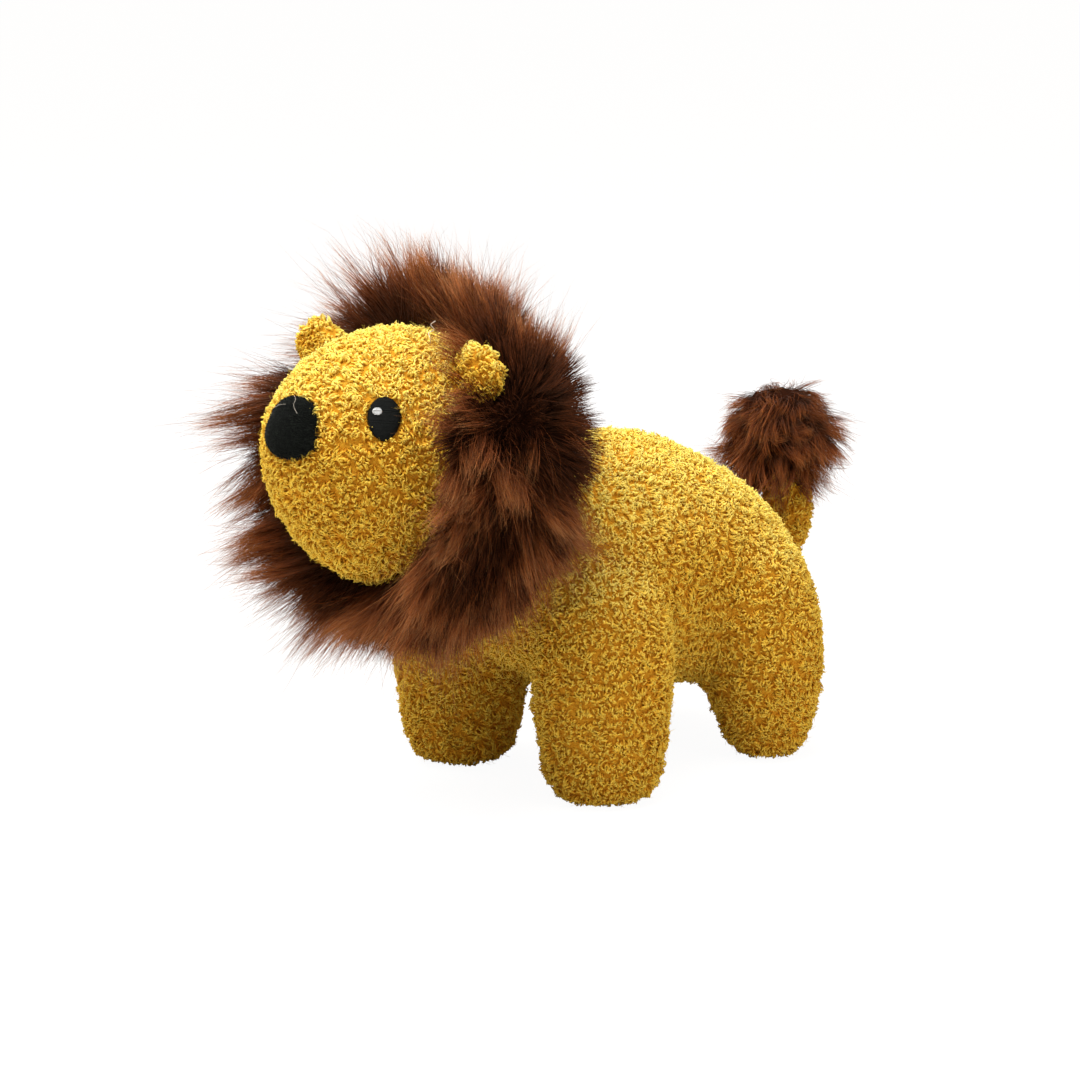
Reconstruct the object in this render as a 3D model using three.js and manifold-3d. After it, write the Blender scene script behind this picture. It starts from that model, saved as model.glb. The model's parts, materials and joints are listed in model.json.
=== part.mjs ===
// A plush lion standing on four stuffed legs: a curly pile cover sewn in panels over fibre filling,
// long fur round the head and on the end of the tail. Millimetres, +Z up. The lion faces -Y and its
// left side is on +X. The origin is on the ground, under the middle of the whole lion.
import * as THREE from 'three';
import { mergeVertices } from 'three/addons/utils/BufferGeometryUtils.js';
import Module from 'manifold-3d';

const wasm = await Module();
wasm.setup();

// Cover, seams and cutting
const pile = 2.6; // the cover: ground cloth and curled pile together
const seamGap = 0.3; // clearance at a seam, and wherever one piece lies on another
const furCloth = 1.6; // ground cloth under the long fur
const flatCut = 0.5; // depth to which a round foot is flattened by the floor
const looseGap = 0.9; // clearance round what turns
const overrun = 300; // how far a cutting block runs past what it cuts
const sweepStep = 10 * THREE.MathUtils.DEG2RAD; // largest turn between two places of a sweep

// Body
const bodyLength = 180;
const bodyWidth = 120;
const bodyHeight = 114;
const bodyRise = 87; // its middle above the ground
const bellyPanel = 26; // width of the panel between the legs
// Rows from rump to chest at equal angles: rise of the middle, width, height
const bodyShares = [[-0.2, 1, 1], [-0.17, 1.15, 0.97], [-0.08, 1.1, 0.96], [0, 0.93, 1], [0.02, 1.1, 1],
  [0.05, 1.15, 1.02], [0.07, 1, 1]];

// Legs, each a column that tapers to a flat foot
const feetSpan = 88; // between the middles of a left and a right foot
const frontFootInset = 37; // a front foot's middle behind the body's front end
const hindFootInset = 45; // a hind foot's middle ahead of the body's rear end
const legLength = 100; // from the floor to its end inside the body
const frontLegWidth = 60;
const hindLegWidth = 56;
const legTilt = 0.02; // radians, tops drawn in towards the middle
const legBluntness = 0.24; // 1 is an ellipsoid's end, 0 is a flat one
// Rows from foot to top: lean back, width, depth
const frontLegShares = [[0, 0.96, 0.96], [0, 0.92, 0.94], [0, 1, 1], [0.03, 0.85, 1], [0.05, 0.5, 0.8]];
const hindLegShares = [[0.04, 0.72, 0.72], [0.01, 0.8, 0.82], [-0.07, 1, 1.06], [-0.18, 0.86, 1.12],
  [-0.3, 0.5, 0.8]];

// Head, and the ball of the neck that sits in the chest
const headLength = 120;
const headWidth = 104;
const headHeight = 106;
const headLead = 36; // its middle ahead of the body's front end
const headLift = 61; // its middle above the body's middle
const headPanel = 30; // width of the gusset over the crown
const neckWidth = 58;
const neckInset = 12; // the neck's middle behind the body's front end
const neckLift = 32; // and above the body's middle
const nod = 8 * THREE.MathUtils.DEG2RAD; // how far the head nods each way
// Rows from nape to snout at equal angles: rise of the middle, width, height
const headShares = [[0, 1, 1], [0, 1, 1], [0, 1.02, 1], [0, 1, 1], [0.01, 0.96, 0.99], [0.05, 0.92, 0.95],
  [0.12, 1, 1]];

// Ears, half-round pads on the crown
const earLength = 20; // from the hinge at its base to its rim
const earWidth = 24;
const earThickness = 15;
const earLift = 0.68; // radians, from level with the head's middle up to the ear
const earFold = 20 * THREE.MathUtils.DEG2RAD; // how far an ear folds each way
const earBluntness = 0.65;
const earShares = [[0, 0.9, 0.9], [0, 0.98, 1], [0, 1, 1], [0, 1, 0.9], [0, 1, 0.8]];

// Nose and eyes, padded patches on the face, seen square on
const noseWidth = 26;
const noseHeight = 22.5;
const noseThickness = 2;
const noseLift = 0.33; // radians, above the head's middle
const noseShares = [[0.2, 0.48], [0.42, 0.34], [0.5, 0.02], [0.46, -0.3], [0.2, -0.5]]; // left half
const eyeWidth = 13.5;
const eyeHeight = 17.5;
const eyeThickness = 0.8;
const eyeTurn = 0.74; // radians, from straight ahead round to the eye
const eyeLift = 0.46; // radians, above the head's middle
const glintWidth = 4.4; // white highlight set in the eye
const glintRise = 2.2; // its middle above the eye's middle
const glintLead = 2.4; // and towards the nose

// Mane, a ring of fur round the head, its front drawn back over the crown, behind the ears
const maneWidth = 174;
const maneHeight = 164;
const maneDepth = 62; // from its front to its back, at its thickest
const maneSetback = 10; // its middle behind the head's middle
const maneDrop = 3; // and below it
const maneTilt = 0.15; // radians, top back
const crownShare = 0.75; // how much of the front half is missing over the crown
const chinShare = 0.25; // and under the chin
const maneBand = 22; // width of its ground cloth
// One section of the ring: share of half the height, share of half the depth
const maneShares = [[0.55, -0.5], [0.76, -0.9], [0.92, -0.55], [1, 0], [0.92, 0.55], [0.74, 0.9],
  [0.42, 0.8]];

// Tail, a stuffed sleeve that rises from the rump to a ball of fur
const tailWidth = 22;
const tailLength = 66; // from the bottom of its root to its top inside the tuft
const tailInset = 2; // its root's middle inside the body's rear end
const tailDrop = 15; // and below the body's middle
const tailSway = 25 * THREE.MathUtils.DEG2RAD; // how far the tail sways each way
const tailBluntness = 0.45;
// Rows from root to top: lean back, width, depth
const tailShares = [[0, 1, 1], [0.42, 1, 1], [0.78, 1, 1], [0.66, 1, 1], [0.52, 1, 1]];
const tuftCore = 28; // across the filling inside the tuft
const tuftWidth = 46;

const X = new THREE.Vector3(1, 0, 0);
const Y = new THREE.Vector3(0, 1, 0);

/** A stuffed form: ovals stacked along +Z between two poles, swelling and tapering by rows of shares. */
function stuffed({ length, width, depth, shares, bluntness = 1, rings, sides }) {
  const curve = new THREE.CatmullRomCurve3(shares.map((row) => new THREE.Vector3(...row)));
  const points = [];
  for (let ring = 1; ring < rings; ring += 1) {
    const angle = Math.PI * (ring / rings - 1 / 2);
    const [lean, wide, deep] = curve.getPoint(ring / rings).toArray();
    const swell = Math.cos(angle) ** bluntness / 2;
    for (let side = 0; side < sides; side += 1) {
      const around = (2 * Math.PI * side) / sides;
      points.push(Math.cos(around) * width * wide * swell);
      points.push(lean * depth + Math.sin(around) * depth * deep * swell, Math.sin(angle) * length / 2);
    }
  }
  const foot = points.length / 3;
  points.push(0, shares.at(0)[0] * depth, -length / 2, 0, shares.at(-1)[0] * depth, length / 2);
  const faces = [];
  const last = (rings - 2) * sides;
  for (let side = 0; side < sides; side += 1) {
    const next = (side + 1) % sides;
    faces.push(foot, next, side, foot + 1, last + side, last + next);
    for (let low = 0; low < last; low += sides) {
      const high = low + sides;
      faces.push(low + side, low + next, high + next, low + side, high + next, high + side);
    }
  }
  const form = new THREE.BufferGeometry();
  form.setAttribute('position', new THREE.Float32BufferAttribute(points, 3));
  return form.setIndex(faces);
}

/** A form with only its places left, and one vertex where several met. */
function bare(form) {
  const plain = form.clone();
  plain.deleteAttribute('normal');
  plain.deleteAttribute('uv');
  return mergeVertices(plain);
}

/** The same form with its skin moved outwards by a distance, or inwards by a negative one. */
function grown(form, by) {
  const moved = bare(form);
  moved.computeVertexNormals();
  const { position, normal } = moved.attributes;
  const place = new THREE.Vector3();
  const out = new THREE.Vector3();
  for (let i = 0; i < position.count; i += 1) {
    place.fromBufferAttribute(position, i).addScaledVector(out.fromBufferAttribute(normal, i), by);
    position.setXYZ(i, ...place);
  }
  return moved;
}

function solid(form) {
  const { attributes, index } = bare(form);
  return new wasm.Manifold(new wasm.Mesh({
    numProp: 3,
    vertProperties: new Float32Array(attributes.position.array),
    triVerts: new Uint32Array(index.array),
  }));
}

/** A block between two corners, for cutting. */
function block(low, high) {
  const corner = new THREE.Vector3(...low);
  const size = new THREE.Vector3(...high).sub(corner);
  return solid(new THREE.BoxGeometry(...size).translate(...corner.addScaledVector(size, 1 / 2)));
}

/** Every place that a form passes through while it turns about a line, up to an angle each way. */
function swept(form, point, axis, angle) {
  const steps = Math.ceil(angle / sweepStep);
  const turns = Array.from({ length: 2 * steps + 1 }, (_, i) => i / steps - 1).map((part) => {
    const turned = form.clone().translate(-point.x, -point.y, -point.z);
    turned.applyMatrix4(new THREE.Matrix4().makeRotationAxis(axis, part * angle));
    return solid(turned.translate(...point));
  });
  return turns.reduce((whole, turn) => whole.add(turn));
}

// How far each layer of a stuffed form lies outside its skin
const layerOffsets = { room: seamGap, skin: 0, lining: -pile, filling: -pile - seamGap };
const eachLayer = (make) => Object.fromEntries(
  Object.entries(layerOffsets).map(([layer, offset]) => [layer, make(offset, layer)]),
);
const layers = (form) => eachLayer((offset) => solid(grown(form, offset)));

/** Layers of a form sewn on by a round root: cut clear of the body as it turns, with the root added. */
function rooted(form, rootWidth, point, axis, angle) {
  const joined = layers(form);
  const ball = new THREE.IcosahedronGeometry(rootWidth / 2, 2).translate(...point);
  const root = layers(ball);
  const cut = eachLayer((offset, layer) => joined[layer]
    .subtract(swept(grown(bodyForm, seamGap - offset), point, axis, angle)).add(root[layer]));
  return { ...cut, socket: solid(grown(ball, looseGap)) };
}

/** Cuts a cover into a left side, a right side and the strip between them, from one height to another. */
function panels(cover, width, low, high) {
  const half = width / 2;
  const strip = (gap) => block([-half - gap, -overrun, low - gap], [half + gap, overrun, high + gap]);
  const sides = cover.subtract(strip(seamGap));
  return {
    left: sides.intersect(block([seamGap / 2, -overrun, -overrun], [overrun, overrun, overrun])),
    right: sides.intersect(block([-overrun, -overrun, -overrun], [-seamGap / 2, overrun, overrun])),
    strip: cover.intersect(strip(0)),
  };
}

/** The layer of what lies on the head between two heights above its skin. */
const onHead = (low, high) => solid(grown(headForm, high)).subtract(solid(grown(headForm, low)));

/** An outline drawn out from the head's middle towards a place on the face, for cutting patches. */
function beam(outline, turn, lift) {
  const level = Math.cos(lift);
  const aim = new THREE.Vector3(level * Math.sin(turn), -level * Math.cos(turn), Math.sin(lift));
  const across = new THREE.Vector3(Math.cos(turn), Math.sin(turn), 0);
  const shaft = new THREE.ExtrudeGeometry(new THREE.Shape(outline), { depth: overrun, bevelEnabled: false });
  shaft.applyMatrix4(new THREE.Matrix4().makeBasis(across, aim.clone().cross(across), aim));
  return solid(shaft.translate(...headMiddle));
}

/** Points of an oval outline, counted anticlockwise. */
function oval(width, height, lead, rise, count) {
  return new THREE.EllipseCurve(lead, rise, width / 2, height / 2).getPoints(count).slice(1);
}

const lion = new THREE.Group();

/** A group whose origin is a joint, inside the group that carries it. */
function hung(carrier, point) {
  const group = new THREE.Group();
  carrier.add(group);
  group.position.copy(carrier.worldToLocal(point.clone()));
  group.updateWorldMatrix(true, false);
  return group;
}

/** Puts a solid into a group as a named mesh of one material. */
function piece(name, shape, finish, group) {
  const { vertProperties, triVerts } = shape.getMesh();
  const geometry = new THREE.BufferGeometry();
  geometry.setAttribute('position', new THREE.BufferAttribute(new Float32Array(vertProperties), 3));
  geometry.setIndex(new THREE.BufferAttribute(new Uint32Array(triVerts), 1));
  geometry.applyMatrix4(group.matrixWorld.clone().invert()).computeVertexNormals();
  const mesh = new THREE.Mesh(geometry, new THREE.MeshStandardMaterial({ ...finish, metalness: 0 }));
  mesh.name = name;
  group.add(mesh);
}

const curlyPile = { color: 0xd9ab2b, roughness: 0.95 };
const fibre = { color: 0xf1efe8, roughness: 1 };
const longFur = { color: 0x6b3519, roughness: 0.7 };
const furBase = { color: 0x3a1d0e, roughness: 1 };
const noseFelt = { color: 0x1e211e, roughness: 1 };
const eyeThread = { color: 0x101412, roughness: 0.5 };
const glintThread = { color: 0xdde0e4, roughness: 0.5 };

// Places of the joints, and of the head's middle
const neck = new THREE.Vector3(0, neckInset - bodyLength / 2, bodyRise + neckLift);
const headMiddle = new THREE.Vector3(0, -bodyLength / 2 - headLead, bodyRise + headLift);
const tailRoot = new THREE.Vector3(0, bodyLength / 2 - tailInset, bodyRise - tailDrop);

// Forms of the body, the head and the tail, and their layers
const bodyForm = stuffed({
  length: bodyLength, width: bodyWidth, depth: bodyHeight, shares: bodyShares, rings: 12, sides: 16,
}).rotateX(Math.PI / 2).translate(0, 0, bodyRise);
const body = layers(bodyForm);

const headForm = stuffed({
  length: headLength, width: headWidth, depth: headHeight, shares: headShares, rings: 12, sides: 16,
}).rotateX(Math.PI / 2).translate(...headMiddle);
const head = rooted(headForm, neckWidth, neck, X, nod);

const tailForm = stuffed({
  length: tailLength, width: tailWidth, depth: tailWidth, shares: tailShares, bluntness: tailBluntness,
  rings: 8, sides: 10,
}).translate(tailRoot.x, tailRoot.y, tailRoot.z + (tailLength - tailWidth) / 2);
const tail = rooted(tailForm, tailWidth, tailRoot, Y, tailSway);

// Legs, which the body cuts, their filling running into the body's through holes in its cover
const aboveSole = block([-overrun, -overrun, pile + seamGap], [overrun, overrun, overrun]);
const soleSlab = block([-overrun, -overrun, 0], [overrun, overrun, pile]);
let bodyCover = body.skin.subtract(body.lining).subtract(head.socket).subtract(tail.socket);
const corners = [['front_left', 1, -1], ['front_right', -1, -1], ['hind_left', 1, 1], ['hind_right', -1, 1]];
for (const [corner, side, end] of corners) {
  const width = end < 0 ? frontLegWidth : hindLegWidth;
  const inset = end < 0 ? frontFootInset : hindFootInset;
  const leg = layers(stuffed({
    length: legLength + flatCut, width, depth: width, shares: end < 0 ? frontLegShares : hindLegShares,
    bluntness: legBluntness, rings: 8, sides: 10,
  }).translate(0, 0, (legLength - flatCut) / 2).rotateY(-side * legTilt)
    .translate(side * feetSpan / 2, end * (bodyLength / 2 - inset), 0));
  const tube = leg.skin.subtract(leg.lining).subtract(body.room).intersect(aboveSole);
  piece(`${corner}_leg_cover`, tube, curlyPile, lion);
  piece(`${corner}_leg_filling`, leg.filling.subtract(body.lining).intersect(aboveSole), fibre, lion);
  piece(`${corner}_sole`, leg.skin.intersect(soleSlab), curlyPile, lion);
  bodyCover = bodyCover.subtract(leg.lining);
}

// Body
const bodyPanels = panels(bodyCover, bellyPanel, -overrun, bodyRise);
piece('body_left_panel', bodyPanels.left, curlyPile, lion);
piece('body_right_panel', bodyPanels.right, curlyPile, lion);
piece('belly_panel', bodyPanels.strip, curlyPile, lion);
piece('body_filling', body.filling.subtract(head.socket).subtract(tail.socket), fibre, lion);

// Ears, each hinged on a line along the base that is sewn into the head
const headGroup = hung(lion, neck);
const earSeat = 1 / Math.hypot(Math.cos(earLift) / (headWidth / 2), Math.sin(earLift) / (headHeight / 2));
const earFront = block([-overrun, -overrun, 0], [overrun, headMiddle.y - seamGap / 2, overrun]);
const earBack = block([-overrun, headMiddle.y + seamGap / 2, 0], [overrun, overrun, overrun]);
const earRoom = [['left', 1], ['right', -1]].map(([name, side]) => {
  const up = new THREE.Vector3(side * Math.cos(earLift), 0, Math.sin(earLift));
  const base = up.clone().cross(Y);
  const seat = headMiddle.clone().addScaledVector(up, earSeat);
  const form = stuffed({
    length: earLength + earThickness / 2, width: earWidth, depth: earThickness, shares: earShares,
    bluntness: earBluntness, rings: 7, sides: 12,
  }).translate(0, 0, (earLength - earThickness / 2) / 2);
  form.rotateY(side * (Math.PI / 2 - earLift)).translate(...seat);
  const group = hung(headGroup, seat);
  piece(`${name}_ear_front`, solid(form).intersect(earFront), curlyPile, group);
  piece(`${name}_ear_back`, solid(form).intersect(earBack), curlyPile, group);
  return swept(grown(form, looseGap), seat, base, earFold);
}).reduce((both, room) => both.add(room));

// Head
const headCover = head.skin.subtract(head.lining).subtract(earRoom);
const headPanels = panels(headCover, headPanel, headMiddle.z, overrun);
piece('head_left_panel', headPanels.left, curlyPile, headGroup);
piece('head_right_panel', headPanels.right, curlyPile, headGroup);
piece('head_gusset', headPanels.strip, curlyPile, headGroup);
piece('head_filling', head.filling.subtract(earRoom), fibre, headGroup);

const noseHalf = noseShares.map(([x, y]) => new THREE.Vector3(x * noseWidth, y * noseHeight, 0));
const noseOutline = new THREE.CatmullRomCurve3(
  [...noseHalf, ...noseHalf.map(({ x, y }) => new THREE.Vector3(-x, y, 0)).reverse()].reverse(), true,
).getPoints(24).slice(1);
const noseLayer = onHead(seamGap, seamGap + noseThickness);
piece('nose_patch', noseLayer.intersect(beam(noseOutline, 0, noseLift)), noseFelt, headGroup);
const eyeLayer = onHead(seamGap, seamGap + eyeThickness);
for (const [name, side] of [['left', 1], ['right', -1]]) {
  const toEye = (outline) => beam(outline, side * eyeTurn, eyeLift);
  const toGlint = (width) => toEye(oval(width, width, -side * glintLead, glintRise, 8));
  const hole = toGlint(glintWidth + 2 * seamGap);
  const eye = eyeLayer.intersect(toEye(oval(eyeWidth, eyeHeight, 0, 0, 16)));
  piece(`${name}_eye`, eye.subtract(hole), eyeThread, headGroup);
  piece(`${name}_eye_glint`, eyeLayer.intersect(toGlint(glintWidth)), glintThread, headGroup);
}

// Mane: a band of ground cloth on the head, and the ring of fur that grows from it
const maneMiddle = new THREE.Vector3(0, maneSetback, -maneDrop).add(headMiddle);
const onMane = (form) => form.rotateX(-maneTilt).translate(...maneMiddle);
const clothTop = seamGap + furCloth;
const bandSlab = onMane(new THREE.BoxGeometry(overrun, maneBand, overrun));
const band = onHead(seamGap, clothTop).intersect(solid(bandSlab));
piece('mane_cloth', band.subtract(earRoom), furBase, headGroup);
const section = maneShares.map(
  ([out, along]) => new THREE.Vector2(out * maneHeight / 2, along * maneDepth / 2),
);
const maneRing = new THREE.LatheGeometry([...section, section[0]], 28).scale(maneWidth / maneHeight, 1, 1);
const ringPlaces = maneRing.attributes.position;
for (let i = 0; i < ringPlaces.count; i += 1) {
  const [x, y, z] = [ringPlaces.getX(i), ringPlaces.getY(i), ringPlaces.getZ(i)];
  const rise = z / Math.hypot(x, z);
  const missing = rise > 0 ? crownShare * Math.sqrt(rise) : -chinShare * rise;
  if (y < 0) ringPlaces.setY(i, y * (1 - missing));
}
const clothRoom = solid(grown(headForm, clothTop + seamGap));
const bodySweep = swept(grown(bodyForm, seamGap), neck, X, nod);
const headRoom = clothRoom.add(head.room).add(earRoom);
piece('mane_fur', solid(onMane(maneRing)).subtract(headRoom).subtract(bodySweep), longFur, headGroup);

// Tail, its sleeve opening into the tuft, where the filling swells to a core
const tailGroup = hung(lion, tailRoot);
const top = tailForm.attributes.position.count - 1;
const tuftMiddle = new THREE.Vector3().fromBufferAttribute(tailForm.attributes.position, top);
const tuftBall = (width) => solid(new THREE.IcosahedronGeometry(width / 2, 2).translate(...tuftMiddle));
const coreRoom = tuftBall(tuftCore + 2 * seamGap);
const tuftCloth = tuftBall(tuftCore + 2 * clothTop);
const tuftFur = tuftBall(tuftWidth).subtract(tuftBall(tuftCore + 2 * (clothTop + seamGap)));
piece('tail_sleeve', tail.skin.subtract(tail.lining).subtract(coreRoom), curlyPile, tailGroup);
piece('tail_filling', tail.filling.add(tuftBall(tuftCore)), fibre, tailGroup);
piece('tuft_cloth', tuftCloth.subtract(coreRoom).subtract(tail.room), furBase, tailGroup);
piece('tuft_fur', tuftFur.subtract(tail.room), longFur, tailGroup);

// The whole lion, with the middle of its outline over the origin
const middle = new THREE.Box3().setFromObject(lion).getCenter(new THREE.Vector3());
lion.position.set(-middle.x, -middle.y, 0);

export default lion;
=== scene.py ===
# A standing plush lion: stuffed forms under curled teddy pile, with long faux fur for the mane and the tuft.
import json

import bpy
import numpy as np
from mathutils import Matrix, Vector
from mathutils.bvhtree import BVHTree
from mathutils.kdtree import KDTree


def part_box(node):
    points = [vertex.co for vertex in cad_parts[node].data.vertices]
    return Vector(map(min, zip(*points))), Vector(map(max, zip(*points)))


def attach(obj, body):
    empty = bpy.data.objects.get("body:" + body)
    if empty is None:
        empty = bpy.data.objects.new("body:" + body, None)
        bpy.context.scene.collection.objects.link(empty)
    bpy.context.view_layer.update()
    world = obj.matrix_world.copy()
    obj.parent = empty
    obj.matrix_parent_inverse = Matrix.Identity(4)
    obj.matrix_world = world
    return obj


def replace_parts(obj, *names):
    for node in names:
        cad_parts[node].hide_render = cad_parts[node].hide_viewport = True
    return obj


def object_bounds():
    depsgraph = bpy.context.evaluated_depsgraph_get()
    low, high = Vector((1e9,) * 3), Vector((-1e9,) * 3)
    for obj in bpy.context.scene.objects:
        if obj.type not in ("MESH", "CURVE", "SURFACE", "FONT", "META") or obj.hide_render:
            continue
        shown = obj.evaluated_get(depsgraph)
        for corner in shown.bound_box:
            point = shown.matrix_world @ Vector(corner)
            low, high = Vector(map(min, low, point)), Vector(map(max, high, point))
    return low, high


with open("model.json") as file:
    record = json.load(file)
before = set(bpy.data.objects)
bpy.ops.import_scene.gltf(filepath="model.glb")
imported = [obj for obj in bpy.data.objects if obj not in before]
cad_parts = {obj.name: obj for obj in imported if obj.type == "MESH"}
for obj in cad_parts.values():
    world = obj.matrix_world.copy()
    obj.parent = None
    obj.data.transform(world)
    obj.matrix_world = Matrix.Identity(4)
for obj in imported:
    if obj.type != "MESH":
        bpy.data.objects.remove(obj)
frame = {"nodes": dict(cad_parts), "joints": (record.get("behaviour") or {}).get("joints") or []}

cad_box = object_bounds()
chance = np.random.default_rng(11)
mm = 0.001

# Where things are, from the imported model
joint_at = {joint["name"]: np.array(joint["pos_m"]) for joint in frame["joints"]}
neck = joint_at["head_nod"]
tail_root = joint_at["tail_sway"]
head_middle = np.array([0, joint_at["left_ear_fold"][1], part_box("head_gusset")[0].z])
body_middle = tail_root + np.array([0, -88, 15]) * mm
mane_middle = head_middle + np.array([0, 10, -3]) * mm

UP = np.array([0, 0, 1.0])
ACROSS = np.array([1.0, 0, 0])

# Sizes of the stuffed forms: how long, how wide and how deep each is before its pile
body_long, body_wide, body_deep = 180 * mm, 120 * mm, 114 * mm
head_long, head_wide, head_deep = 120 * mm, 104 * mm, 106 * mm
neck_width = 58 * mm
belly_half, gusset_half, seam_half = 13 * mm, 15 * mm, 3 * mm
leg_long, front_leg_width, hind_leg_width = 100.5 * mm, 60 * mm, 56 * mm
leg_middle_high, half_stance = 49.75 * mm, 44 * mm
front_leg_ahead, hind_leg_behind = 53 * mm, 45 * mm
leg_splay = 0.02
tail_long, tail_width = 66 * mm, 22 * mm
ear_long, ear_wide, ear_deep = 27.5 * mm, 24 * mm, 15 * mm
ear_lift = 0.68          # how far each ear rises from level, in radians
nose_wide, nose_high, nose_lift = 26 * mm, 22.5 * mm, 0.33
eye_wide, eye_high, eye_turn, eye_lift = 13.5 * mm, 17.5 * mm, 0.74, 0.46

# Sizes of the pile and the fur
curl_long, curl_thick, curl_gap = 5.6 * mm, 0.43 * mm, 1.36 * mm
fibre_long, fibre_thick = 4.0 * mm, 0.055 * mm
curl_swell = 9 * mm      # how wide a patch of one shade is in the pile
fur_swell = 22 * mm      # and in the fur
lock_gap = 3.8 * mm      # between the roots of two locks of fur
coat_depth = 19 * mm     # of the dense fur under the strands
parting_turn, parting_behind, parting_reach = np.radians(64), 15 * mm, 52 * mm
tuft_locks = 420
tuft_lift, tuft_root_radius, tuft_core_width = 3 * mm, 16 * mm, 38 * mm
mane_tilt = 0.15         # how far the mane leans back from upright, in radians
band_radius = 51 * mm    # from the mane's middle to its ground cloth
fur_room = np.array([94, 163.5, 128]) * mm    # as far as fur may reach from the model's middle, each way
fur_ease = 14 * mm       # where it starts to bend back before that
most_triangles = 198000  # in one piece


# Materials

def linear(code, alpha=1.0):
    """An sRGB hex colour as linear red, green, blue and alpha."""
    parts = [int(code[i:i + 2], 16) / 255 for i in (1, 3, 5)]
    return tuple(c / 12.92 if c <= 0.04045 else ((c + 0.055) / 1.055) ** 2.4 for c in parts) + (alpha,)


def add(tree, kind, inputs=None, stops=None, **settings):
    """Adds a node with its settings, each input set to a value or linked to another node's output."""
    node = tree.nodes.new("ShaderNode" + kind)
    for name, value in settings.items():
        setattr(node, name, value)
    for place, (position, colour) in enumerate(stops or []):
        if place > 1:
            node.color_ramp.elements.new(position)
        node.color_ramp.elements[place].position = position
        node.color_ramp.elements[place].color = linear(colour)
    for socket, value in (inputs or {}).items():
        if isinstance(value, bpy.types.NodeSocket):
            tree.links.new(value, node.inputs[socket])
        else:
            node.inputs[socket].default_value = value
    return node


def material(name):
    """An empty material and its node tree."""
    made = bpy.data.materials.new(name)
    made.use_nodes = True
    made.node_tree.nodes.clear()
    return made, made.node_tree


def strand_material(name, stops, patch_size, patch_share, strand_share, surface, painted_top_light=None):
    """Fibre coloured from root to tip, in patches and strand by strand, paler where it faces up as painted
    top light, when a ramp for it is given.
    """
    made, tree = material(name)
    along = add(tree, "Attribute", attribute_name="along")
    colour = add(tree, "ValToRGB", {"Fac": along.outputs["Fac"]}, stops).outputs["Color"]
    # Painted top light: a paler ramp mixed in where the fibre faces up
    if painted_top_light:
        upward = add(tree, "Attribute", attribute_name="upward")
        paler = add(tree, "ValToRGB", {"Fac": along.outputs["Fac"]}, painted_top_light)
        colour = add(tree, "Mix", {0: upward.outputs["Fac"], 6: colour, 7: paler.outputs["Color"]},
                     data_type="RGBA").outputs[2]
    where = add(tree, "TexCoord")
    patches = add(tree, "TexNoise", {"Vector": where.outputs["Object"], "Scale": 1 / patch_size,
                                     "Detail": 2.0})
    patchy = add(tree, "MapRange", {"Value": patches.outputs["Fac"], "From Min": 0.3, "From Max": 0.7,
                                    "To Min": 1 - patch_share, "To Max": 1 + patch_share})
    strand = add(tree, "NewGeometry")
    each = add(tree, "MapRange", {"Value": strand.outputs["Random Per Island"],
                                  "To Min": 1 - strand_share, "To Max": 1 + strand_share})
    both = add(tree, "Math", {0: patchy.outputs["Result"], 1: each.outputs["Result"]}, operation="MULTIPLY")
    shaded = add(tree, "VectorMath", {0: colour, "Scale": both.outputs["Value"]}, operation="SCALE")
    shader = add(tree, "BsdfPrincipled", {"Base Color": shaded.outputs["Vector"], **surface})
    add(tree, "OutputMaterial", {"Surface": shader.outputs["BSDF"]})
    return made


# Polyester teddy pile, knitted and curled by heat: matt curls with a soft bloom, darker orange at the roots
# as painted shade deep in the pile, paler at the tips as painted light, and paler still where they face up as
# painted top light
curl_finish = strand_material(
    "curled_teddy_pile",
    [(0.0, "#C67E18"), (0.3, "#DB9E2A"), (0.65, "#E8BC3E"), (1.0, "#EFD05A")],
    curl_swell, 0.05, 0.08,
    {"Roughness": 0.9, "Specular IOR Level": 0.05, "Sheen Weight": 0.12, "Sheen Roughness": 0.6,
     "Sheen Tint": linear("#F2C24A")},
    # Painted top light: the paler ramp for curls that face up
    [(0.0, "#E4B43E"), (0.3, "#EEC84E"), (0.65, "#F4D862"), (1.0, "#F8E680")],
)

# Modacrylic faux fur, brushed straight: dark near the ground cloth, partly its own colour and partly painted
# shade deep in the mane, and paler towards the tips, partly its own colour and partly a painted highlight
# that makes them look glossier
fur_finish = strand_material(
    "brushed_faux_fur",
    [(0.0, "#140904"), (0.35, "#3C1E10"), (0.65, "#70391C"), (0.88, "#9A592E"), (1.0, "#BA8657")],
    fur_swell, 0.18, 0.55,
    {"Roughness": 0.45, "Specular IOR Level": 0.35, "Specular Tint": linear("#E8A878")},
)

# Shorter and duller fibre of the same fur, close to the ground cloth, its dark colour partly its own and
# partly painted shade deep in the mane
underfur_strands = strand_material(
    "matted_short_fur", [(0.0, "#140904"), (0.5, "#2E170C"), (1.0, "#552B15")], fur_swell, 0.15, 0.4,
    {"Roughness": 0.6, "Specular IOR Level": 0.15, "Specular Tint": linear("#E8A878")},
)

# Nap of the brushed velour: black with a few paler fibres
nap_finish = strand_material(
    "brushed_velour_nap", [(0.0, "#030403"), (0.5, "#101310"), (1.0, "#262A24")], 3 * mm, 0.5, 0.8,
    {"Roughness": 0.8, "Specular IOR Level": 0.1},
)


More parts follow.
